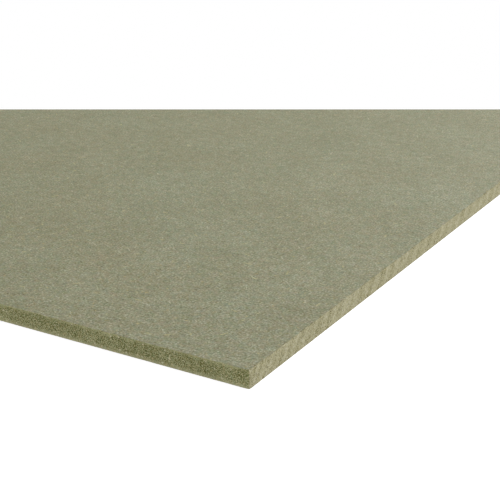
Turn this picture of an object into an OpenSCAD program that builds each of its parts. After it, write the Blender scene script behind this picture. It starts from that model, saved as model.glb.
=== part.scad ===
// Moisture-resistant medium-density fibreboard, one full sheet.
//
// The sheet is pressed and sanded as one piece, then sawn to size on all four
// sides. It lies flat: X runs along its length, Y along its width and Z up
// through its thickness. The origin is the middle of the underside.

/* [Sheet] */
// Length of the sheet, along X
sheet_length = 2440; // [610:1:3050]
// Width of the sheet, along Y
sheet_width = 1220; // [305:1:1525]
// Thickness of the sheet, sanded on both faces
sheet_thickness = 12; // [3:0.5:38]

/* [Edges] */
// Face width that the broken arris takes off each side of an edge
arris = 0.3; // [0.1:0.05:1]

/* [Hidden] */

// Olive green of the dyed fibre
fibre_green = [0.58, 0.58, 0.48];
// Room that each profile's extrusion has past the sheet, so no faces coincide
past = 5;

// A rectangle centred on the origin, with its four corners cut at 45 degrees.
module broken_rectangle(a, b, cut) {
    polygon([
        for (turn = [[1, 1], [-1, 1], [-1, -1], [1, -1]])
            let (x = turn[0] * a / 2, y = turn[1] * b / 2)
            // The cut is walked anticlockwise round the rectangle.
            each turn[0] * turn[1] > 0
                ? [[x, y - turn[1] * cut], [x - turn[0] * cut, y]]
                : [[x - turn[0] * cut, y], [x, y - turn[1] * cut]]
    ]);
}

// Outline of the sheet as sawn, seen from above.
module sawn_outline() {
    translate([0, 0, -past])
        linear_extrude(sheet_thickness + 2 * past)
            broken_rectangle(sheet_length, sheet_width, arris);
}

// Section across the length, swept along it: the faces and the long edges.
module section_along_length() {
    translate([0, 0, sheet_thickness / 2])
        rotate([90, 0, 90])
            linear_extrude(sheet_length + 2 * past, center = true)
                broken_rectangle(sheet_width, sheet_thickness, arris);
}

// Section across the width, swept along it: the faces and the short edges.
module section_along_width() {
    translate([0, 0, sheet_thickness / 2])
        rotate([90, 0, 0])
            linear_extrude(sheet_width + 2 * past, center = true)
                broken_rectangle(sheet_length, sheet_thickness, arris);
}

// The whole sheet: what the outline and both sections have in common, so that
// all twelve arrises are broken and meet in a point at each of the eight corners.
module mdf_sheet() {
    color(fibre_green)
        intersection() {
            sawn_outline();
            section_along_length();
            section_along_width();
        }
}

mdf_sheet();
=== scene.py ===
# %% [markdown]
# # A full sheet of moisture-resistant fibreboard
#
# The object is one sheet of dyed medium-density fibreboard, 2440 x 1220 x 12 mm. Wood is
# ground to single fibres, mixed with green-dyed resin and pressed hot, so that the two faces
# come out dense and smooth and the middle stays more open. The faces are then sanded and the
# sides sawn.
#
# A sheet like this has almost no form of its own. What makes it look real is all in the
# finish: the fibre mottling of a sanded face, the open fibre of a sawn side, the marks that
# the saw leaves, and the small damage along its sharp arrises. So the lesson spends its time
# there, in four steps: the place and the light, the solid with its marks, a flat map for
# viewers that can't work out patterns, and the two finishes.
#
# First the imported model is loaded. It gives the size and place that everything else keeps to.

# %% Load the frame
import math
from typing import NamedTuple

import bmesh
import bpy
from mathutils import Matrix, Vector, noise


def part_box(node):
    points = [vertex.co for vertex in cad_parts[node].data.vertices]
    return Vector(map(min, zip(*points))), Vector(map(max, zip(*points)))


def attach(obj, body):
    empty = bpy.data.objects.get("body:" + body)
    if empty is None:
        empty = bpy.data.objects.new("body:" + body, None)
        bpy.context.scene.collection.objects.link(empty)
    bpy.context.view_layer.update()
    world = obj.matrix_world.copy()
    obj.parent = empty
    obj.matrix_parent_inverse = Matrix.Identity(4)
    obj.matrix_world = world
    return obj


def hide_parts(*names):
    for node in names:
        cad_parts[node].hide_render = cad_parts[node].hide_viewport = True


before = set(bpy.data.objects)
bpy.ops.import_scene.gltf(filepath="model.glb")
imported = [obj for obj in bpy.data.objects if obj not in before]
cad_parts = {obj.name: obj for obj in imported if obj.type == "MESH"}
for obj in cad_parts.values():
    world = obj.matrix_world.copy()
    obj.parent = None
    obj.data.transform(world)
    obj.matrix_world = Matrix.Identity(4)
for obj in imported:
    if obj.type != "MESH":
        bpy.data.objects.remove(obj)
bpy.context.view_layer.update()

LOW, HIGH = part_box("mdf_sheet")
SIZE = HIGH - LOW
MIDDLE = (LOW + HIGH) / 2
NEAR_CORNER = Vector((HIGH.x, LOW.y, LOW.z))
MM = 0.001
print("sheet, mm:", [round(side / MM, 1) for side in SIZE])

# %% [markdown]
# ## The camera
#
# The sheet is shown from just in front of one corner, from a little above, so that the top
# face fills the view and both sawn sides run away from the viewer. A wide lens held close
# would take in more of the sheet, but it would stretch the corner. A fairly long lens, a
# little over half a metre away, keeps the sides' proportions calm and shows their grain.

# %% Camera
CAMERA_FROM_CORNER = Vector((284.10, -476.39, 287.69)) * MM
TURN_LEFT = math.radians(30.785)
LOOK_DOWN = math.radians(20.167)
LENS = 79.1
SENSOR = 36.0

camera_data = bpy.data.cameras.new("camera")
camera_data.sensor_width = SENSOR
camera_data.lens = LENS
camera_data.clip_start = 1 * MM
camera = bpy.data.objects.new("camera", camera_data)
camera.location = NEAR_CORNER + CAMERA_FROM_CORNER
camera.rotation_euler = (math.radians(90) - LOOK_DOWN, 0, TURN_LEFT)
bpy.context.scene.collection.objects.link(camera)
bpy.context.scene.camera = camera
print("camera stands at", [round(value, 3) for value in camera.location])

# %% [markdown]
# ## Shader arithmetic
#
# A finish is mostly arithmetic on patterns: this noise times that mask, plus a little more.
# Wiring each sum by hand hides the idea, so one small class wraps a socket and lets Python's
# own operators add the nodes. `1 - mask` then means what it says. Everything that isn't
# arithmetic, such as a noise or a ramp, comes from one method that makes any node.

# %% Sockets that can be added and multiplied


class Wire:
    """An output socket of a shader node that Python arithmetic works on."""

    def __init__(self, shader, socket):
        self.shader = shader
        self.socket = socket

    def maths(self, operation, *operands):
        """This operation on these operands, as vectors if any of them is one."""
        vector = any(isinstance(o, Wire) and o.socket.type == "VECTOR" for o in operands)
        kind = "ShaderNodeVectorMath" if vector else "ShaderNodeMath"
        return self.shader.node(kind, {"operation": operation}, dict(enumerate(operands)))

    def __add__(self, other):
        return self.maths("ADD", self, other)

    def __radd__(self, other):
        return self.maths("ADD", other, self)

    def __sub__(self, other):
        return self.maths("SUBTRACT", self, other)

    def __rsub__(self, other):
        return self.maths("SUBTRACT", other, self)

    def __mul__(self, other):
        return self.maths("MULTIPLY", self, other)

    def __rmul__(self, other):
        return self.maths("MULTIPLY", other, self)

    def __truediv__(self, other):
        return self.maths("DIVIDE", self, other)

    def __rtruediv__(self, other):
        return self.maths("DIVIDE", other, self)

    def __abs__(self):
        return self.maths("ABSOLUTE", self)

    def limited(self, low=0.0, high=1.0):
        """This value, kept between low and high."""
        return self.maths("MINIMUM", self.maths("MAXIMUM", self, low), high)

    def rising(self, start, end):
        """0 up to start, 1 from end on, and a straight slope between; end may be lower."""
        return ((self - start) / (end - start)).limited()

    def between(self, first, second):
        """A number that goes from first to second as this goes from 0 to 1."""
        return self * (second - first) + first

    def swing(self):
        """A pattern of 0 to 1 about its middle: below 0 where it is low, above where high."""
        return self - 0.5


print("wires can be added, subtracted, multiplied and divided")

# %% Nodes by one method


class Shader:
    """A material, or the world, being wired up."""

    def __init__(self, owner):
        self.owner = owner
        owner.use_nodes = True
        self.tree = owner.node_tree
        self.tree.nodes.clear()

    def node(self, kind, settings=None, sockets=None, output=0):
        """Any node: settings first, then each socket gets a value or a link."""
        made = self.tree.nodes.new(kind)
        for name, value in (settings or {}).items():
            setattr(made, name, value)
        for name, value in (sockets or {}).items():
            if isinstance(value, Wire):
                self.tree.links.new(value.socket, made.inputs[name])
            else:
                made.inputs[name].default_value = value
        return Wire(self, made.outputs[output]) if made.outputs else made

    def more(self, wire, output):
        """Another output of the node that a wire comes from."""
        return Wire(self, wire.socket.node.outputs[output])

    def parts(self, vector):
        """The x, y and z of a vector, as three values."""
        x = self.node("ShaderNodeSeparateXYZ", None, {"Vector": vector})
        return x, self.more(x, "Y"), self.more(x, "Z")

    def vector(self, x=0.0, y=0.0, z=0.0):
        """A vector from three values."""
        return self.node("ShaderNodeCombineXYZ", None, {"X": x, "Y": y, "Z": z})

    def mixed(self, factor, first, second, blend="MIX"):
        """Two colours, mixed by a factor. On this node colours go in at 6 and 7, out at 2."""
        settings = {"data_type": "RGBA", "blend_type": blend}
        return self.node("ShaderNodeMix", settings, {0: factor, 6: first, 7: second}, 2)

    def noise(self, where, size, detail=2.0, roughness=0.5):
        """Smooth noise of about 0 to 1, in blobs of about this size in metres."""
        sockets = {"Vector": where, "Scale": 1 / size, "Detail": detail,
                   "Roughness": roughness}
        return self.node("ShaderNodeTexNoise", None, sockets)


print("any other node comes from Shader.node")

# %% [markdown]
# ## Colours
#
# The colours are written as a screen shows them, 0 to 255 for each of red, green and blue,
# because that is how a person reads them off a sample. Shaders work in linear light, so each
# is converted once.

# %% Colours as a screen shows them
FULL = 255
STRAIGHT_END, STRAIGHT_SLOPE = 0.04045, 12.92
CURVE_SHIFT, CURVE_POWER = 0.055, 2.4


def linear(share):
    """Linear light for a screen's share of 0 to 1: a short straight start, then a curve."""
    if share <= STRAIGHT_END:
        return share / STRAIGHT_SLOPE
    return ((share + CURVE_SHIFT) / (1 + CURVE_SHIFT)) ** CURVE_POWER


def colour(red, green, blue):
    """A screen colour as linear light, with alpha."""
    return (linear(red / FULL), linear(green / FULL), linear(blue / FULL), 1.0)


WHITE = colour(255, 255, 255)
print("a screen's middle grey is", round(linear(0.5), 3), "in linear light")

# %% [markdown]
# ## Studio
#
# The sheet lies on a white floor that runs out of sight, with a white surround, so nothing
# competes with it. White could be had by flooding everything with light, but that would bleach
# the sheet. Here the floor and the world only turn white for the camera's own rays and for
# mirror-like ones. Otherwise the floor is a plain matt one that gives back two fifths of its
# light, and a faint contact shadow still shows on it. It lies a hair below the sheet, because
# two surfaces in exactly one plane leave the renderer to guess which is in front.

# %% White for the camera only
FLOOR_GIVES_BACK = 0.4
FLOOR_GLOW = 0.9


def only_camera(shader):
    """1 for what the camera or a mirror-like surface sees directly, else 0."""
    ray = shader.node("ShaderNodeLightPath")
    seen = ray + shader.more(ray, "Is Glossy Ray") + shader.more(ray, "Is Transmission Ray")
    return seen.limited()


def floor_finish():
    """A plain matt floor that glows white for the camera."""
    material = bpy.data.materials.new("studio_floor")
    shader = Shader(material)
    paint = (FLOOR_GIVES_BACK,) * 3 + (1.0,)
    matt = shader.node("ShaderNodeBsdfDiffuse", None, {"Color": paint})
    glow_strength = only_camera(shader) * FLOOR_GLOW
    glow = shader.node("ShaderNodeEmission", None, {"Color": WHITE, "Strength": glow_strength})
    both = shader.node("ShaderNodeAddShader", None, {0: matt, 1: glow})
    shader.node("ShaderNodeOutputMaterial", None, {"Surface": both})
    return material


print("floor gives back", FLOOR_GIVES_BACK, "of its light")

# %% Floor and surround
FLOOR_REACH = 30.0
FLOOR_GAP = 0.3 * MM
SURROUND_LIGHT = 0.19


def object_from(name, shape, *materials):
    """Turns a finished bmesh into an object at the origin."""
    mesh = bpy.data.meshes.new(name)
    shape.to_mesh(mesh)
    shape.free()
    for material in materials:
        mesh.materials.append(material)
    made = bpy.data.objects.new(name, mesh)
    bpy.context.scene.collection.objects.link(made)
    return made


floor_shape = bmesh.new()
bmesh.ops.create_grid(floor_shape, x_segments=1, y_segments=1, size=FLOOR_REACH,
                      matrix=Matrix.Translation((0, 0, LOW.z - FLOOR_GAP)))
floor = object_from("studio_floor", floor_shape, floor_finish())

world = bpy.data.worlds.new("studio_surround")
bpy.context.scene.world = world
surround = Shader(world)
strength = SURROUND_LIGHT + only_camera(surround) * (1 - SURROUND_LIGHT)
sky = surround.node("ShaderNodeBackground", None, {"Color": WHITE, "Strength": strength})
surround.node("ShaderNodeOutputWorld", None, {"Surface": sky})
print("floor reaches", FLOOR_REACH, "m each way")

# %% [markdown]
# ## Lamps
#
# Three large softboxes stand round the near corner, each some seven metres from it. So far
# off, their light falls away only a little over the length of the sheet, and no view of it has
# a hot end. The key stands to the right and lights the short side. The back one is raised
# behind the sheet and gives the top face most of its light. The fill, low in front, is the
# weakest, so the long side stays in soft shade. The surround does the rest. A small lamp close
# by would cost less to compute, but it would paint its own gradient on a face this large and
# plain.

# %% Lamps


def softbox(name, place, aim, width, watts):
    """A square area lamp at a place, facing a point."""
    lamp = bpy.data.lights.new(name, "AREA")
    lamp.shape = "SQUARE"
    lamp.size = width
    lamp.energy = watts
    holder = bpy.data.objects.new(name, lamp)
    holder.location = place
    holder.rotation_euler = (Vector(aim) - Vector(place)).to_track_quat("-Z", "Y").to_euler()
    holder.visible_camera = False
    bpy.context.scene.collection.objects.link(holder)


SOFTBOX_WIDTH = 4.5
AIM = NEAR_CORNER + Vector((-0.3, 0.4, 0.0))
KEY_PLACE = NEAR_CORNER + Vector((5.5, 2.1, 4.4))
FILL_PLACE = NEAR_CORNER + Vector((1.25, -6.75, 1.5))
BACK_PLACE = NEAR_CORNER + Vector((1.4, 6.5, 3.6))
KEY_WATTS = 313
FILL_WATTS = 218
BACK_WATTS = 484
for name, place, watts in (("key_softbox", KEY_PLACE, KEY_WATTS),
                           ("fill_softbox", FILL_PLACE, FILL_WATTS),
                           ("back_softbox", BACK_PLACE, BACK_WATTS)):
    softbox(name, place, AIM, SOFTBOX_WIDTH, watts)
    print(name, "stands", round((place - NEAR_CORNER).length, 2), "m from the near corner")

# %% [markdown]
# ## Lens flag
#
# In a studio a small card, a flag, is clipped to the lens shade to trim what the frame takes
# in. Here it trims the top of the frame, where the sheet would otherwise run on to the edge.
# It rides on the camera, a few millimetres before the lens, and only the camera's own rays
# meet it, so it lights and shades nothing.

# %% Lens flag
FLAG_BEFORE_LENS = 4 * MM
TRIMMED_SHARE = 0.2187
PAST_FRAME = 1.3

half_view = FLAG_BEFORE_LENS * SENSOR / 2 / LENS
flag_low = half_view * (1 - 2 * TRIMMED_SHARE)
flag_high = half_view * PAST_FRAME
flag_shape = bmesh.new()
flag_centre = Vector((0, (flag_low + flag_high) / 2, -FLAG_BEFORE_LENS))
flag_size = Matrix.Diagonal((half_view * PAST_FRAME, (flag_high - flag_low) / 2, 1, 1))
bmesh.ops.create_grid(flag_shape, x_segments=1, y_segments=1, size=1,
                      matrix=Matrix.Translation(flag_centre) @ flag_size)
flag_card = bpy.data.materials.new("flag_card")
card = Shader(flag_card)
card_white = card.node("ShaderNodeEmission", None, {"Color": WHITE, "Strength": 1.0})
card.node("ShaderNodeOutputMaterial", None, {"Surface": card_white})
flag = object_from("lens_flag", flag_shape, flag_card)
flag.parent = camera
for ray_kind in ("diffuse", "glossy", "transmission", "volume_scatter", "shadow"):
    setattr(flag, "visible_" + ray_kind, False)
print("flag trims", TRIMMED_SHARE, "of the frame's height")

# %% [markdown]
# ## The sheet, as a blank with fine sides
#
# A real sheet is a slab whose sides a saw has cut. A cube with a small bevel would have the
# right outline, but no room for saw marks or chips, and subdividing the whole slab finely would
# waste nearly all the faces on its flat middle. So the slab is cut into coarse cells, and only
# the sawn sides, their arrises and a narrow ring next to them are then divided finely. The ring
# takes up the movement when an arris is later pushed in. Without it, the long thin triangles of
# the flat part would reach the arris itself, and some would turn over. All of it is one closed
# skin. A bevel may number its faces differently from run to run, so at the end they are sorted
# by place.

# %% Cutting and dividing
ARRIS = 0.2 * MM
STRAIGHT_ENOUGH = 0.99
SLACK = 1.01


def cut_across(shape, axis, places):
    """Cuts the whole blank by planes square to an axis."""
    normal = Vector((0, 0, 0))
    normal[axis] = 1
    for place in places:
        parts = shape.verts[:] + shape.edges[:] + shape.faces[:]
        bmesh.ops.bisect_plane(shape, geom=parts, plane_co=normal * place, plane_no=normal)


def divide(shape, edges, pieces):
    """Divides each of these edges into equal pieces, and the faces between them too."""
    bmesh.ops.subdivide_edges(shape, edges=edges, cuts=pieces - 1, use_grid_fill=True)


def runs_along(edge, axis, longer_than):
    """Whether an edge follows an axis and is longer than this."""
    span = abs(edge.verts[1].co[axis] - edge.verts[0].co[axis])
    return span > longer_than and span > STRAIGHT_ENOUGH * edge.calc_length()


def near_side(vert, axis, reach=ARRIS):
    """Whether a point lies this near the outside of the sheet, measured along an axis."""
    return min(vert.co[axis] - LOW[axis], HIGH[axis] - vert.co[axis]) < SLACK * reach


print("arris of the blank:", ARRIS / MM, "mm")

# %% Blank
BORDER = 2.5 * MM
CELLS_ALONG = 61
CELLS_ACROSS = 30
SIDE_ROWS = 9
STEPS_IN_CELL = 25

sheet_shape = bmesh.new()
slab = Matrix.Translation(MIDDLE) @ Matrix.Diagonal((*SIZE, 1))
bmesh.ops.create_cube(sheet_shape, size=1, matrix=slab)
bmesh.ops.bevel(sheet_shape, geom=sheet_shape.edges[:], offset=ARRIS, segments=2, profile=0.5,
                material=-1, affect="EDGES")

for axis, cells in ((0, CELLS_ALONG), (1, CELLS_ACROSS)):
    cell = SIZE[axis] / cells
    places = [LOW[axis] + cell * number for number in range(1, cells)]
    cut_across(sheet_shape, axis, [LOW[axis] + BORDER, *places, HIGH[axis] - BORDER])

upright = [edge for edge in sheet_shape.edges if runs_along(edge, 2, SIZE.z / 2)]
divide(sheet_shape, upright, SIDE_ROWS)
for axis, side_axis in ((0, 1), (1, 0)):
    lengthwise = [edge for edge in sheet_shape.edges
                  if runs_along(edge, axis, 2 * BORDER)
                  and all(near_side(vert, side_axis, BORDER) for vert in edge.verts)]
    divide(sheet_shape, lengthwise, STEPS_IN_CELL)
many_sided = [flat for flat in sheet_shape.faces if len(flat.verts) > 4]
bmesh.ops.triangulate(sheet_shape, faces=many_sided)
by_place = sorted(sheet_shape.faces, key=lambda flat: tuple(flat.calc_center_median()))
for number, flat in enumerate(by_place):
    flat.index = number
sheet_shape.faces.sort()
print("blank:", len(sheet_shape.faces), "faces,", len(sheet_shape.verts), "points")

# %% [markdown]
# ## Saw marks and worn arrises
#
# A saw leaves shallow scallops across a cut side, one for each bit of feed, leaning the way
# the blade moved. The feed starts slowly and gathers speed, so the marks lie close together
# near the corner and then settle to an even pitch. They are deep enough to make the upper arris
# wave, so they are real relief and not bump. The blade leaves the wood cleanly at the bottom,
# and all of it fades towards the lower arris. The long sides are straighter but more torn. The
# sharp arrises also crumble in small bites, and the four corners are a little knocked. Each
# side reads the noise at a place of its own, set apart by the numbers called APART, so that no
# two sides are alike. Every mark goes inward from the blank, so the sheet never grows past its
# true size.

# %% Marks of the saw
SAW_FEED = 17.6 * MM
SLOW_BITES = 4.5
SLOW_LENGTH = 50 * MM
FIRST_RIDGE = 0.98
SAW_DEPTH = 0.6 * MM
SAW_LEAN = 0.66
SAW_WANDER = 1.2 * MM
WANDER_LENGTH = 40 * MM
MARK_PATCH, MARK_STRETCH = 26 * MM, 3
MARKS_APART = 7
USUAL_MARK = 0.75
MARK_SPREAD = 0.5
FAINTEST_MARK = 0.2


def smooth_noise(size, *place):
    """Smooth noise of about -1 to 1 at a place, in blobs of about this size."""
    return noise.noise(Vector([value / size for value in place]))


def saw_scallop(along, height, side):
    """How far into its scallop a point of a short side is, 0 at the ridge to 1 at the bottom."""
    wander = SAW_WANDER * smooth_noise(WANDER_LENGTH, along, side, 0)
    travel = along - LOW.y - SAW_LEAN * (height - MIDDLE.z) + wander
    slow_start = SLOW_BITES * (1 - math.exp(-max(0.0, travel) / SLOW_LENGTH))
    turn = travel / SAW_FEED + slow_start - FIRST_RIDGE
    patch = smooth_noise(MARK_PATCH, along, height / MARK_STRETCH, MARKS_APART * side)
    strength = max(FAINTEST_MARK, min(1.0, USUAL_MARK + MARK_SPREAD * patch))
    return strength * (0.5 - 0.5 * math.cos(math.tau * turn))


print("saw marks settle at", round(SAW_FEED / MM, 1), "mm, deepest", SAW_DEPTH / MM, "mm")

# %% Torn fibre and bites
TORN_FIBRE = 0.10 * MM
COARSE_TEAR, FINE_TEAR = 4 * MM, 1.7 * MM
COARSE_SHARE, FINE_SHARE = 0.3, 0.2
TEARS_APART = 3
BITE = 0.6 * MM
CRUMB, CRUMBLY_PATCH = 2.6 * MM, 17 * MM
CRUMBS_APART, PATCHES_APART = 5, 9
PATCH_PULL = 0.55
SOUND_ARRIS = 0.30
BITE_SLOPE = 0.40


def torn(along, height, side):
    """Roughness of torn fibre, 0 to 1."""
    coarse = smooth_noise(COARSE_TEAR, along, height, side)
    fine = smooth_noise(FINE_TEAR, along, height, side + TEARS_APART)
    return 0.5 + COARSE_SHARE * coarse + FINE_SHARE * fine


def bite(along, height, side):
    """How much is bitten out of an arris at this place: mostly nothing, sometimes up to 1."""
    crumbs = smooth_noise(CRUMB, along, height, CRUMBS_APART * side)
    patch = smooth_noise(CRUMBLY_PATCH, along, height, PATCHES_APART * side)
    return max(0.0, min(1.0, (crumbs + PATCH_PULL * patch - SOUND_ARRIS) / BITE_SLOPE))


print("deepest bite", BITE / MM, "mm")

# %% Depth of the cut
LONG_SIDE_WAVE = 0.12 * MM
WAVE_LENGTH = 90 * MM
SHORT_SIDE_TEAR = 0.5
LONG_SIDE = 6
LONG_SIDE_BITES = 0.6


def short_side_cut(along, height, side):
    """How far the saw went in on a short side."""
    tear = SHORT_SIDE_TEAR * TORN_FIBRE * torn(along, height, side)
    return SAW_DEPTH * saw_scallop(along, height, side) + tear


def long_side_cut(along, height, side):
    """How far the saw went in on a long side, whose noise is kept apart by its number."""
    wave = 0.5 + 0.5 * smooth_noise(WAVE_LENGTH, along, height, side)
    return LONG_SIDE_WAVE * wave + TORN_FIBRE * torn(along, height, side + LONG_SIDE)


print("long sides wave by", LONG_SIDE_WAVE / MM, "mm")

# %% Sides and corners
CORNER_KNOCK = 0.3 * MM
CORNER_REACH = 3 * MM


def side_of(vert, axis):
    """-1 or 1 for the side a point is on along an axis, or 0 if it is on neither."""
    if not near_side(vert, axis):
        return 0
    return 1 if vert.co[axis] > MIDDLE[axis] else -1


def corner_knock(x, y):
    """How far a point is pushed in by a knock on the nearest corner of the sheet."""
    corner_gap = math.hypot(SIZE.x / 2 - abs(x - MIDDLE.x), SIZE.y / 2 - abs(y - MIDDLE.y))
    return CORNER_KNOCK * max(0.0, 1 - corner_gap / CORNER_REACH) ** 2


print("corners knocked in by", CORNER_KNOCK / MM, "mm")

# %% Relief of the sides
BITE_DOWN = 0.7
CLEAN_EXIT = 0.15
ON_FACE = 0.01 * ARRIS

saw_layer = sheet_shape.verts.layers.float.new("saw_scallop")
bite_layer = sheet_shape.verts.layers.float.new("bite")
moved = 0
for vert in sheet_shape.verts:
    side_x, side_y = side_of(vert, 0), side_of(vert, 1)
    if not side_x and not side_y:
        continue
    x, y, z = vert.co
    fade = CLEAN_EXIT + (1 - CLEAN_EXIT) * (z - LOW.z) / SIZE.z
    inward = Vector((0, 0, 0))
    bitten = 0.0
    if side_x:
        vert[saw_layer] = saw_scallop(y, z, side_x)
        inward.x = fade * short_side_cut(y, z, side_x)
        bitten = fade * bite(y, z, side_x)
    if side_y:
        inward.y = fade * long_side_cut(x, z, side_y)
        bitten = max(bitten, fade * LONG_SIDE_BITES * bite(x, z, side_y + LONG_SIDE))
    if near_side(vert, 2):
        vert[bite_layer] = bitten
        inward.x += BITE * bitten * abs(side_x)
        inward.y += BITE * bitten * abs(side_y)
        if not near_side(vert, 2, ON_FACE):
            inward.z = BITE * bitten * BITE_DOWN
    inward.x += corner_knock(x, y) * abs(side_x)
    inward.y += corner_knock(x, y) * abs(side_y)
    for axis in range(3):
        inward_sign = -1 if vert.co[axis] > MIDDLE[axis] else 1
        vert.co[axis] += inward_sign * inward[axis]
    moved += 1
print("points moved:", moved)

# %% [markdown]
# ## One skin, two finishes
#
# The sanded faces and the sawn sides belong to one solid, so they stay one mesh, with a finish
# chosen face by face from the way each one looks. The sides are shaded smooth so that the
# scallops roll, the faces stay flat, and the two are kept apart at the arris.

# %% Faces sorted by finish
SANDED, SAWN = 0, 1
FLAT_ENOUGH = 0.9

sheet_shape.normal_update()
for flat in sheet_shape.faces:
    lies_flat = abs(flat.normal.z) > FLAT_ENOUGH
    flat.material_index = SANDED if lies_flat else SAWN
    flat.smooth = not lies_flat
print("sanded faces:", sum(flat.material_index == SANDED for flat in sheet_shape.faces))

# %% [markdown]
# ## A flat pattern for the skin
#
# A viewer that can't work out a finish from patterns needs it painted on a flat square, with a
# map that says where in the square each face lies. Blender can make such a map by itself, but
# it would give four sides of 12 mm the same scale as a face two metres long, and the saw marks
# would be lost. So the map is given a layout of its own: the top face across the square, the
# underside smaller because it is seldom seen, and the four sides as one tape that goes round the
# sheet, cut into rows and stretched.

# %% Map
ROWS = 8
ROW_HIGH = 0.0150
GAP = 0.0045
TOP_WIDE = 1 - 2 * GAP
TOP_HIGH = TOP_WIDE * SIZE.y / SIZE.x
UNDER_WIDE = 0.66
ROWS_START = GAP + TOP_HIGH + GAP + UNDER_WIDE * SIZE.y / SIZE.x + GAP
TAPE = 2 * (SIZE.x + SIZE.y)


def on_tape(place, facing):
    """How far along the tape round the sheet a place is, on the side that faces this way."""
    if abs(facing.y) > abs(facing.x):
        return place.x - LOW.x + (SIZE.x + SIZE.y if facing.y > 0 else 0)
    return place.y - LOW.y + (SIZE.x if facing.x > 0 else 2 * SIZE.x + SIZE.y)


def map_place(place, facing, row):
    """Where in the square a place lies, on a face that faces this way."""
    across, up = (place.x - LOW.x) / SIZE.x, (place.y - LOW.y) / SIZE.x
    if row is None and facing.z > 0:
        return GAP + across * TOP_WIDE, GAP + up * TOP_WIDE
    if row is None:
        return GAP + across * UNDER_WIDE, 2 * GAP + TOP_HIGH + up * UNDER_WIDE
    along = on_tape(place, facing) * ROWS / TAPE - row
    height = (place.z - LOW.z) / SIZE.z
    return GAP + along * TOP_WIDE, ROWS_START + row * (ROW_HIGH + GAP) + height * ROW_HIGH


map_layer = sheet_shape.loops.layers.uv.new("OFBake")
for flat in sheet_shape.faces:
    row = None
    if flat.material_index == SAWN:
        tape_place = on_tape(flat.calc_center_median(), flat.normal)
        row = min(ROWS - 1, max(0, int(tape_place * ROWS / TAPE)))
    for corner in flat.loops:
        corner[map_layer].uv = map_place(corner.vert.co, flat.normal, row)
print("map filled to", round(ROWS_START + ROWS * (ROW_HIGH + GAP), 3), "of its height")

# %% [markdown]
# ## Patterns and fibres that lie in a face
#
# Most of a finish is smooth noise, from specks of a millimetre to clouds of half a metre. Each
# one gets a name with its size, so that a finish can be read as a list of what is in it.
#
# Under the sander's marks a face is a felt of single wood fibres, lying flat and pointing every
# way. Painting them one by one is hopeless. Instead a cell pattern gives scattered points, and
# the colour that comes with each cell serves as its dice: one number turns the fibre, one gives
# its length, and one decides whether it is there at all. The same recipe makes pale fibres,
# long threads, dark specks and the pits of a sawn side.

# %% Places on the sheet
NOISE_SWING = 0.25


def object_place(shader):
    """The place on the piece, in metres."""
    return shader.node("ShaderNodeTexCoord", output="Object")


def ragged(shader, where, size, reach):
    """The same place, nudged to and fro by up to about this reach, for torn outlines."""
    dice = shader.more(shader.noise(where, size, detail=1.0), "Color")
    nudges = [part.swing() * (reach / NOISE_SWING) for part in shader.parts(dice)]
    return where + shader.vector(*nudges)


print("noise strays by about", NOISE_SWING, "from its middle")

# %% Named patterns


class Pattern(NamedTuple):
    """A noise of its own: how big its blobs are, how finely they are broken up, and where."""

    size: float
    detail: float = 2.0
    roughness: float = 0.5
    shift: tuple = (0.0, 0.0, 0.0)

    def at(self, shader, where):
        """This pattern at a place, about 0 to 1."""
        place = where + shader.vector(*self.shift)
        return shader.noise(place, self.size, self.detail, self.roughness)


print("a pattern is known by its", ", ".join(Pattern._fields))

# %% Scattered fibres
SHORTEST = 0.25
CRISPNESS = 2.2
FULL_SHARE = 1 / 3


class Scatter(NamedTuple):
    """One kind of fibre: how far apart, how long and wide at most, which share is there."""

    shift: tuple
    spacing: float
    length: float
    width: float
    share: float

    def on(self, shader, where):
        """1 on such a fibre, 0 off it, at a place on a flat face."""
        place = where + shader.vector(*self.shift)
        cells = shader.node("ShaderNodeTexVoronoi", {"voronoi_dimensions": "2D"},
                            {"Vector": place, "Scale": 1 / self.spacing, "Randomness": 1.0},
                            "Position")
        away_x, away_y, _ = shader.parts(place - cells)
        turn_dice, length_dice, share_dice = shader.parts(shader.more(cells, "Color"))
        angle = turn_dice * math.tau
        cosine, sine = angle.maths("COSINE", angle), angle.maths("SINE", angle)
        along = away_x * cosine + away_y * sine
        across = away_y * cosine - away_x * sine
        reach = (length_dice * length_dice).between(SHORTEST, 1) * (self.length / 2)
        far = abs(along) / reach
        wide = abs(across) / (self.width / 2)
        inside = 1 - (far * far + wide * wide).limited()
        there = share_dice.rising(1 - self.share, 1 - self.share * FULL_SHARE)
        return (inside * CRISPNESS).limited() * there


print("shortest fibre:", SHORTEST, "of its kind's length")

# %% [markdown]
# ## The sanded face
#
# Seen close, the face is a fine mottle of grey-green, where the dyed resin sits, and of tan,
# where the sander has opened a fibre. From further off the mottle melts into soft clouds, some
# warmer, some cooler. Each scale gets its own noise, because one noise stretched over all of
# them looks like smoke and not like felt.
#
# Tone and hue come from different patterns. It would be less work to let one pattern drive
# both, but then every dark patch is cool and every pale one warm, and the face looks painted.
# On the real board most pale fibres are nearly neutral, the dark ones are brown, and the hue
# wanders on its own.

# %% Felt
FELT_LENGTH, FELT_WIDTH = 3.0 * MM, 0.5 * MM
FELT_DIRECTIONS = 4
FIRST_TURN = 0.3


def felt(shader, where):
    """A mat of fibres: one stretched noise for each direction, averaged; about 0 to 1."""
    layers = []
    for number in range(FELT_DIRECTIONS):
        angle = math.pi * (number + FIRST_TURN) / FELT_DIRECTIONS
        turned = shader.node("ShaderNodeVectorRotate", {"rotation_type": "Z_AXIS"},
                             {"Vector": where, "Angle": angle})
        squeezed = turned * shader.vector(1 / FELT_LENGTH, 1 / FELT_WIDTH, 1 / FELT_WIDTH)
        layers.append(shader.noise(squeezed, 1.0, detail=1.0))
    return sum(layers) / FELT_DIRECTIONS


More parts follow.
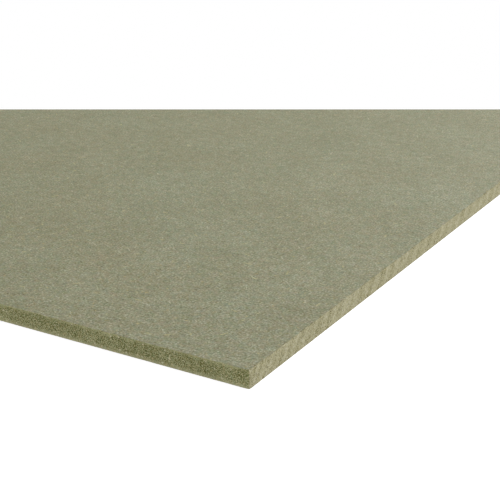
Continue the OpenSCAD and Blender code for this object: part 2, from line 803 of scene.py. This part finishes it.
print("felt fibres, mm:", round(FELT_LENGTH / MM, 1), "by", round(FELT_WIDTH / MM, 1))

# %% Patterns of the sanded face
CRUMBS = Pattern(1.5 * MM, 2.5, 0.8)
PATCHES = Pattern(7 * MM, 3.0, 0.6)
CLOUDS = Pattern(55 * MM, 3.0)
WARM_CLOUDS = Pattern(90 * MM, shift=(0.5, 0.9, 0.1))


class FacePlace(NamedTuple):
    """What the sanded finish knows of a place: the patterns it draws on, all as wires."""

    where: Wire
    mat: Wire
    crumbs: Wire
    patches: Wire
    clouds: Wire
    warm_clouds: Wire


def face_place(shader):
    """Lays out those patterns at each place, from single fibres to clouds."""
    where = object_place(shader)
    noises = [pattern.at(shader, where) for pattern in (CRUMBS, PATCHES, CLOUDS, WARM_CLOUDS)]
    return FacePlace(where, felt(shader, where), *noises)


print("patterns at a place:", len(FacePlace._fields) - 1)

# %% Tones and casts
CAST_RANGE = (0.25, 0.75)


def toned(shader, ground, amount, dark, pale):
    """A colour pulled towards pale where amount is above 0, and to dark where it is below."""
    lighter = shader.mixed(amount.limited(), ground, pale)
    return shader.mixed((amount * -1).limited(), lighter, dark)


def tinted(shader, ground, pattern, low_cast, high_cast):
    """A colour multiplied by one cast where a pattern is low, and by the other where high."""
    cast = shader.mixed(pattern.rising(*CAST_RANGE), low_cast, high_cast)
    return shader.mixed(1.0, ground, cast, "MULTIPLY")


print("casts run over a pattern's", CAST_RANGE)

# %% Hue of the sanded face
COOL_GREEN = colour(125, 136, 112)
WARM_TAN = colour(143, 133, 103)
FLECKS = Pattern(1.4 * MM, 1.0, shift=(3.1, 1.7, 0.4))
TINTS = Pattern(4.5 * MM, shift=(0.7, 2.3, 0.9))
USUAL_WARMTH = 0.54
FLECK_WARMTH, TINT_WARMTH = 1.3, 0.8
PATCH_WARMTH, CLOUD_WARMTH = 0.3, 0.32
ROSES = Pattern(5.5 * MM, 1.5, shift=(1.7, 0.4, 0.2))
OLIVES = Pattern(3.6 * MM, 1.5, shift=(0.1, 1.9, 0.6))
LEAF_CAST, ROSE_CAST = (0.96, 1.02, 1.0, 1.0), (1.04, 0.98, 1.0, 1.0)
BLUE_CAST, OLIVE_CAST = (1.0, 0.985, 1.12, 1.0), (1.0, 1.015, 0.88, 1.0)


def sanded_hue(shader, face):
    """The ground colour: from cool green to warm tan, under two casts of their own."""
    flecks, tints = FLECKS.at(shader, face.where), TINTS.at(shader, face.where)
    warmth = USUAL_WARMTH + flecks.swing() * FLECK_WARMTH + tints.swing() * TINT_WARMTH
    warmth = warmth + face.patches.swing() * PATCH_WARMTH
    warmth = warmth + face.warm_clouds.swing() * CLOUD_WARMTH
    ground = shader.mixed(warmth.limited(), COOL_GREEN, WARM_TAN)
    ground = tinted(shader, ground, ROSES.at(shader, face.where), LEAF_CAST, ROSE_CAST)
    return tinted(shader, ground, OLIVES.at(shader, face.where), BLUE_CAST, OLIVE_CAST)


print("cool green:", [round(value, 3) for value in COOL_GREEN])

# %% Tone of the sanded face
PALE_GRAIN = colour(188, 191, 171)
DARK_GRAIN = colour(86, 83, 51)
MAT_TONE, CRUMB_TONE, PATCH_TONE = 1.9, 3.3, 0.7
CLOUD_TONE, WARM_CLOUD_TONE = 0.3, -0.1
BROAD_CLOUDS = Pattern(420 * MM)
BROAD_TONE = 0.16
# Painted light: the top face is made a touch paler over the last stretch towards each end, where
# the light on it is brighter.
PAINTED_LIGHT_REACH = 340 * MM
PAINTED_LIGHT_TONE = 0.04


def sanded_light(shader, face):
    """How much paler, above 0, or darker, below 0, a place is than its ground."""
    broad = BROAD_CLOUDS.at(shader, face.where)
    light = face.mat.swing() * MAT_TONE + face.crumbs.swing() * CRUMB_TONE
    light = light + face.patches.swing() * PATCH_TONE + face.clouds.swing() * CLOUD_TONE
    light = light + face.warm_clouds.swing() * WARM_CLOUD_TONE
    x, _, _ = shader.parts(face.where)
    # Painted light: paler towards each end.
    end = (SIZE.x / 2 - abs(x - MIDDLE.x)).rising(PAINTED_LIGHT_REACH, 0.0)
    return light + broad.swing() * BROAD_TONE + end * end * PAINTED_LIGHT_TONE


print("the two ends are a touch paler, over", round(PAINTED_LIGHT_REACH / MM), "mm")

# %% [markdown]
# ## Loose fibres on the sanded face
#
# Some fibres stand out from the felt: dark ones, short pale ones, a few long threads, chips the
# colour of bark, shreds the colour of straw, and now and then a sooty speck. They lie on top,
# so they are mixed in last, each kind over the one before, at a strength of its own.

# %% Fibres of the sanded face
PALE_FIBRE = colour(210, 209, 186)
FIBRE_FRAY = (1.1 * MM, 0.45 * MM)
# For each kind: its shift, spacing, length, width and share, then its strength and its colour.
SANDED_FIBRES = (
    (Scatter((0.71, 0.53), 6 * MM, 5.0 * MM, 1.3 * MM, 0.5), 0.42, colour(82, 82, 56)),
    (Scatter((0.0, 0.0), 7 * MM, 4.5 * MM, 0.9 * MM, 0.4), 0.3, PALE_FIBRE),
    (Scatter((0.83, 0.47), 15 * MM, 13 * MM, 0.7 * MM, 0.5), 0.45, PALE_FIBRE),
    (Scatter((0.93, 0.29), 8 * MM, 3.0 * MM, 1.1 * MM, 0.4), 0.5, colour(184, 168, 112)),
    (Scatter((0.37, 0.61), 18 * MM, 9 * MM, 1.3 * MM, 0.5), 0.46, colour(194, 185, 134)),
    (Scatter((0.19, 0.83), 24 * MM, 1.8 * MM, 1.3 * MM, 0.4), 0.8, colour(60, 58, 42)),
)


def with_fibres(shader, ground, where):
    """The ground with each kind of loose fibre over it, at its strength and in its colour."""
    rough = ragged(shader, where, *FIBRE_FRAY)
    for kind, strength, tint in SANDED_FIBRES:
        ground = shader.mixed(kind.on(shader, rough) * strength, ground, tint)
    return ground


print("kinds of loose fibre:", len(SANDED_FIBRES))

# %% [markdown]
# The felt also stands up a few hundredths of a millimetre. That is far too fine for real
# geometry on a sheet of this size, so here a bump is the honest choice. A sanded face is matt,
# a little less so on the dense resin than on an opened fibre.

# %% Sanded face
FELT_RELIEF = 0.02 * MM
CRUMB_RELIEF = 0.5
SANDED_ROUGHNESS = 0.70
CLOUD_ROUGHNESS, MAT_ROUGHNESS = 0.1, 0.3
SANDED_GLOSS = 0.12


def matt_surface(shader, ground, height, depth, roughness, gloss):
    """Ends a finish: a matt surface of this colour, with this relief and this depth of it."""
    relief = shader.node("ShaderNodeBump", None,
                         {"Height": height, "Distance": depth, "Strength": 1.0})
    surface = shader.node("ShaderNodeBsdfPrincipled", None,
                          {"Base Color": ground, "Roughness": roughness, "Normal": relief,
                           "Specular IOR Level": gloss})
    shader.node("ShaderNodeOutputMaterial", None, {"Surface": surface})


def sanded_finish():
    """The finish of both faces: hue, tone, loose fibres and the felt's faint relief."""
    material = bpy.data.materials.new("sanded_face")
    shader = Shader(material)
    face = face_place(shader)
    ground = sanded_hue(shader, face)
    ground = toned(shader, ground, sanded_light(shader, face), DARK_GRAIN, PALE_GRAIN)
    ground = with_fibres(shader, ground, face.where)
    roughness = SANDED_ROUGHNESS + face.clouds.swing() * CLOUD_ROUGHNESS
    roughness = roughness + face.mat.swing() * MAT_ROUGHNESS
    relief = face.mat + face.crumbs * CRUMB_RELIEF
    matt_surface(shader, ground, relief, FELT_RELIEF, roughness, SANDED_GLOSS)
    return material


sanded_face = sanded_finish()
print("sanded face:", len(sanded_face.node_tree.nodes), "nodes")

# %% [markdown]
# ## The sawn side
#
# A sawn side shows the sheet's build. Under both faces lies a dense layer, pale and closed. The
# core between them was pressed less, so its fibres tear out and leave pits that drink the
# light. The long sides are coarser and greener, the short ones cut cleaner, with the saw's
# bands across them. The hue wanders a little on both, from green to red along the long sides
# and from blue to yellow along the short ones. Each could have a finish of its own, but they
# meet at every corner. So one finish covers both: it reads the height in the sheet for the
# layers, and the way the side faces for the coarseness.

# %% Facts about a place on a side
CORNER_BLEND = 0.1
DRIFTS = Pattern(9 * MM)
DRIFT_REACH = 2.4 * MM
# The lower layer reaches deeper than the upper one. Both dense layers are real, but the lower
# one's extra depth also paints light that the floor throws back up onto a long side.
# For each dense layer: how deep under its face it starts to open, and how deep it is gone.
LOWER_OPENS, LOWER_GONE = 0.4 * MM, 3.6 * MM
UPPER_OPENS, UPPER_GONE = 0.1 * MM, 2.2 * MM


class SidePlace(NamedTuple):
    """What the sawn finish knows of a place, all as wires."""

    where: Wire
    drift: Wire
    height: Wire
    dense: Wire
    long_side: Wire
    scallop: Wire


def attribute(shader, name):
    """A value stored on the mesh's points."""
    return shader.node("ShaderNodeAttribute", {"attribute_name": name}, None, "Fac")


def side_place(shader):
    """Works out those facts. The height drifts, so the layers' borders aren't ruled lines."""
    where = object_place(shader)
    _, _, z = shader.parts(where)
    drift = DRIFTS.at(shader, where)
    height = z - LOW.z + drift.swing() * DRIFT_REACH
    lower = height.rising(LOWER_GONE, LOWER_OPENS)
    upper = height.rising(SIZE.z - UPPER_GONE, SIZE.z - UPPER_OPENS)
    facing = shader.node("ShaderNodeNewGeometry", output="True Normal")
    facing_x, facing_y, _ = shader.parts(facing)
    long_side = (abs(facing_y) - abs(facing_x)).rising(-CORNER_BLEND, CORNER_BLEND)
    return SidePlace(where, drift, height, lower + upper, long_side,
                     attribute(shader, "saw_scallop"))


print("dense layers are gone at, mm:", round(LOWER_GONE / MM, 1), round(UPPER_GONE / MM, 1))

# %% Grain of a side
SHORT_CONTRAST, SCALLOP_CONTRAST = 2.7, 2.5
CORE_CONTRAST, DENSE_CONTRAST = 5.7, 3.0
LUMP_TONE, DRIFT_TONE, STROKE_TONE = 0.9, 0.65, 1.1
SAW_TONE, USUAL_SCALLOP = 0.33, 0.4
PAINTED_BOUNCE_TILT = 0.16


def side_light(shader, side, grain, lumps, strokes):
    """How much paler, above 0, or darker, below 0, a place on a side is than its ground."""
    short_contrast = side.scallop * SCALLOP_CONTRAST + SHORT_CONTRAST
    long_contrast = side.dense.between(CORE_CONTRAST, DENSE_CONTRAST)
    light = grain.swing() * side.long_side.between(short_contrast, long_contrast)
    light = light + lumps.swing() * LUMP_TONE
    light = light + side.drift.swing() * side.long_side * DRIFT_TONE
    light = light + strokes.swing() * side.long_side.between(STROKE_TONE, 0.0)
    light = light + (USUAL_SCALLOP - side.scallop) * SAW_TONE
    _, _, z = shader.parts(side.where)
    # Painted light: a long side is made paler towards its bottom, for light that the floor
    # throws back up.
    return light + (MIDDLE.z - z) / SIZE.z * side.long_side * PAINTED_BOUNCE_TILT


print("grain contrast: core", CORE_CONTRAST, "dense layers", DENSE_CONTRAST)

# %% Colours of a side
SHORT_GROUND = colour(166, 161, 128)
SHORT_PALE = colour(202, 197, 171)
SHORT_DARK = colour(101, 96, 41)
LONG_DENSE = colour(172, 171, 123)
LONG_CORE = colour(135, 137, 84)
LONG_PALE = colour(210, 206, 165)
LONG_DARK = colour(62, 61, 20)
SIDE_HUES = Pattern(1.7 * MM, 1.5, shift=(0.6, 0.2, 0.8))
SHORT_COOL, SHORT_WARM = (0.99, 1.0, 1.06, 1.0), (1.01, 1.0, 0.94, 1.0)
LONG_COOL, LONG_WARM = (0.91, 1.0, 1.04, 1.0), (1.09, 1.0, 0.96, 1.0)


def side_ground(shader, side, light):
    """The colour of the wood itself: its layers, its grain and a cast that wanders a little."""
    layers = shader.mixed(side.dense, LONG_CORE, LONG_DENSE)
    ground = shader.mixed(side.long_side, SHORT_GROUND, layers)
    pale = shader.mixed(side.long_side, SHORT_PALE, LONG_PALE)
    dark = shader.mixed(side.long_side, SHORT_DARK, LONG_DARK)
    ground = toned(shader, ground, light, dark, pale)
    cool = shader.mixed(side.long_side, SHORT_COOL, LONG_COOL)
    warm = shader.mixed(side.long_side, SHORT_WARM, LONG_WARM)
    return tinted(shader, ground, SIDE_HUES.at(shader, side.where), cool, warm)


print("core green:", [round(value, 3) for value in LONG_CORE])

# %% [markdown]
# ## Pits, torn fibres and painted light and shade
#
# On top of the wood come the marks of tearing. A pit is dark because light doesn't get out of
# it, and a torn fibre is pale because it stands clear. A long side is covered with torn fibres
# and pitted in its core, and near the bottom it is painted paler, as painted light for what the
# floor throws back up. A short side has few torn fibres, but it is pitted all over, at the
# bottom of a scallop more than on its ridge. Along its upper arris a thin band of painted shade
# follows the scallops, and a bitten arris is painted darker, as painted shade in the chip.

# %% Pits and torn fibres
TORN_FIBRE_AND_BOUNCE_PALE = colour(236, 228, 196)
PIT_AND_ARRIS_SHADE = colour(72, 69, 29)
PITS = Scatter((0.0, 0.0), 1.8 * MM, 1.4 * MM, 0.8 * MM, 0.5)
TORN_FIBRES = Scatter((0.31, 0.07), 2.8 * MM, 2.1 * MM, 0.85 * MM, 0.32)
RIDGE_PITS, SCALLOP_PITS, CORE_PITS = 0.55, 0.8, 0.6
SHORT_TEARS, LONG_TEARS = 0.1, 0.75
# A pale strip at the bottom of a long side is painted light, standing in for light that the
# floor throws back up.
PAINTED_BOUNCE_TOP, PAINTED_BOUNCE_FULL = 2.6 * MM, 0.4 * MM
PAINTED_BOUNCE_STRENGTH = 0.18


def with_tearing(shader, side, ground, pits, torn_fibres):
    """The ground with painted light near the bottom of a long side, pits and torn fibres on it.
    """
    painted_bounce = side.long_side * side.height.rising(PAINTED_BOUNCE_TOP, PAINTED_BOUNCE_FULL)
    ground = shader.mixed(painted_bounce * PAINTED_BOUNCE_STRENGTH, ground, TORN_FIBRE_AND_BOUNCE_PALE)
    short_pits = side.scallop * SCALLOP_PITS + RIDGE_PITS
    pitted = side.long_side.between(short_pits, side.dense.between(CORE_PITS, 0.0))
    ground = shader.mixed(pits * pitted, ground, PIT_AND_ARRIS_SHADE)
    tears = side.long_side.between(SHORT_TEARS, LONG_TEARS)
    return shader.mixed(torn_fibres * tears, ground, TORN_FIBRE_AND_BOUNCE_PALE)


print("pits up to", round(PITS.length / MM, 1), "mm long")

# %% Painted shade on the arrises
# Painted shade: a band along the upper arris of a short side, deeper where a scallop cuts it,
# and every bitten place on an arris are painted darker, as shade falls there.
ARRIS_SHADE_FROM, ARRIS_SHADE_FULL = 0.7 * MM, 0.2 * MM
USUAL_ARRIS_SHADE, SCALLOP_ARRIS_SHADE, BITE_SHADE = 0.16, 0.6, 0.2


def with_arris_shade(shader, side, ground):
    """The ground with painted shade: darker along the upper arris of a short side and where an
    arris is bitten.
    """
    _, _, z = shader.parts(side.where)
    band = (z - LOW.z).rising(SIZE.z - ARRIS_SHADE_FROM, SIZE.z - ARRIS_SHADE_FULL) * (1 - side.long_side)
    arris_shade = band * (side.scallop * SCALLOP_ARRIS_SHADE + USUAL_ARRIS_SHADE)
    arris_shade = arris_shade + attribute(shader, "bite") * BITE_SHADE
    return shader.mixed(arris_shade.limited(), ground, PIT_AND_ARRIS_SHADE)


print("the upper arris is dark over its last", round(ARRIS_SHADE_FROM / MM, 1), "mm")

# %% [markdown]
# All of it goes into one finish. The short sides also get strokes, a noise drawn out along the
# lean of the saw marks. The finest relief is again a bump: a scallop of half a millimetre is
# modelled, and a fibre that stands up a few hundredths isn't.

# %% Sawn side
SIDE_GRAIN = Pattern(0.66 * MM, 1.0, 0.7)
LUMPS = Pattern(2.2 * MM, shift=(0.4, 0.9, 0.2))
STROKE_WIDE, STROKE_DEEP, STROKE_LONG = 0.9 * MM, 3 * MM, 7 * MM
PIT_FRAY = (1.0 * MM, 0.4 * MM)
STROKE_RELIEF, PIT_RELIEF = 0.4, 0.6
TORN_RELIEF = 0.07 * MM
SAWN_ROUGHNESS = 0.9
SAWN_GLOSS = 0.25


def sawn_finish():
    """The finish of all four sides: wood, pits, torn fibres, wear and their relief."""
    material = bpy.data.materials.new("sawn_side")
    shader = Shader(material)
    side = side_place(shader)
    x, y, z = shader.parts(side.where)
    grain, lumps = SIDE_GRAIN.at(shader, side.where), LUMPS.at(shader, side.where)
    leaning = (y - z * SAW_LEAN) / STROKE_WIDE
    swept = shader.vector(leaning, x / STROKE_DEEP, z / STROKE_LONG)
    strokes = shader.noise(swept, 1.0, detail=1.0)
    unrolled = ragged(shader, shader.vector(x + y, z), *PIT_FRAY)
    pits = PITS.on(shader, unrolled)
    torn_fibres = TORN_FIBRES.on(shader, unrolled)

    ground = side_ground(shader, side, side_light(shader, side, grain, lumps, strokes))
    ground = with_tearing(shader, side, ground, pits, torn_fibres)
    ground = with_arris_shade(shader, side, ground)
    relief = grain + lumps + strokes * side.long_side.between(STROKE_RELIEF, 0.0)
    relief = relief - pits * PIT_RELIEF
    matt_surface(shader, ground, relief, TORN_RELIEF, SAWN_ROUGHNESS, SAWN_GLOSS)
    return material


sawn_side = sawn_finish()
print("sawn side:", len(sawn_side.node_tree.nodes), "nodes")

# %% [markdown]
# ## The finished sheet
#
# The blank becomes an object with its two finishes, sanded first and sawn second, as its faces
# were sorted. It rides on the part's one body, since nothing on a sheet moves. It stands for the
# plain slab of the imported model, which stays where it is, hidden, and goes on doing the
# colliding.

# %% Sheet
sheet = object_from("fibreboard_sheet", sheet_shape, sanded_face, sawn_side)
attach(sheet, "root")
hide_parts("mdf_sheet")
print("sheet:", len(sheet.data.polygons), "faces")

# %% [markdown]
# ## Last settings
#
# The standard view shows each colour as it is written. A filmic one would be kinder to bright
# highlights, but a matt sheet has none, and it would grey the white floor.

# %% Finish
bpy.context.scene.view_settings.view_transform = "Standard"
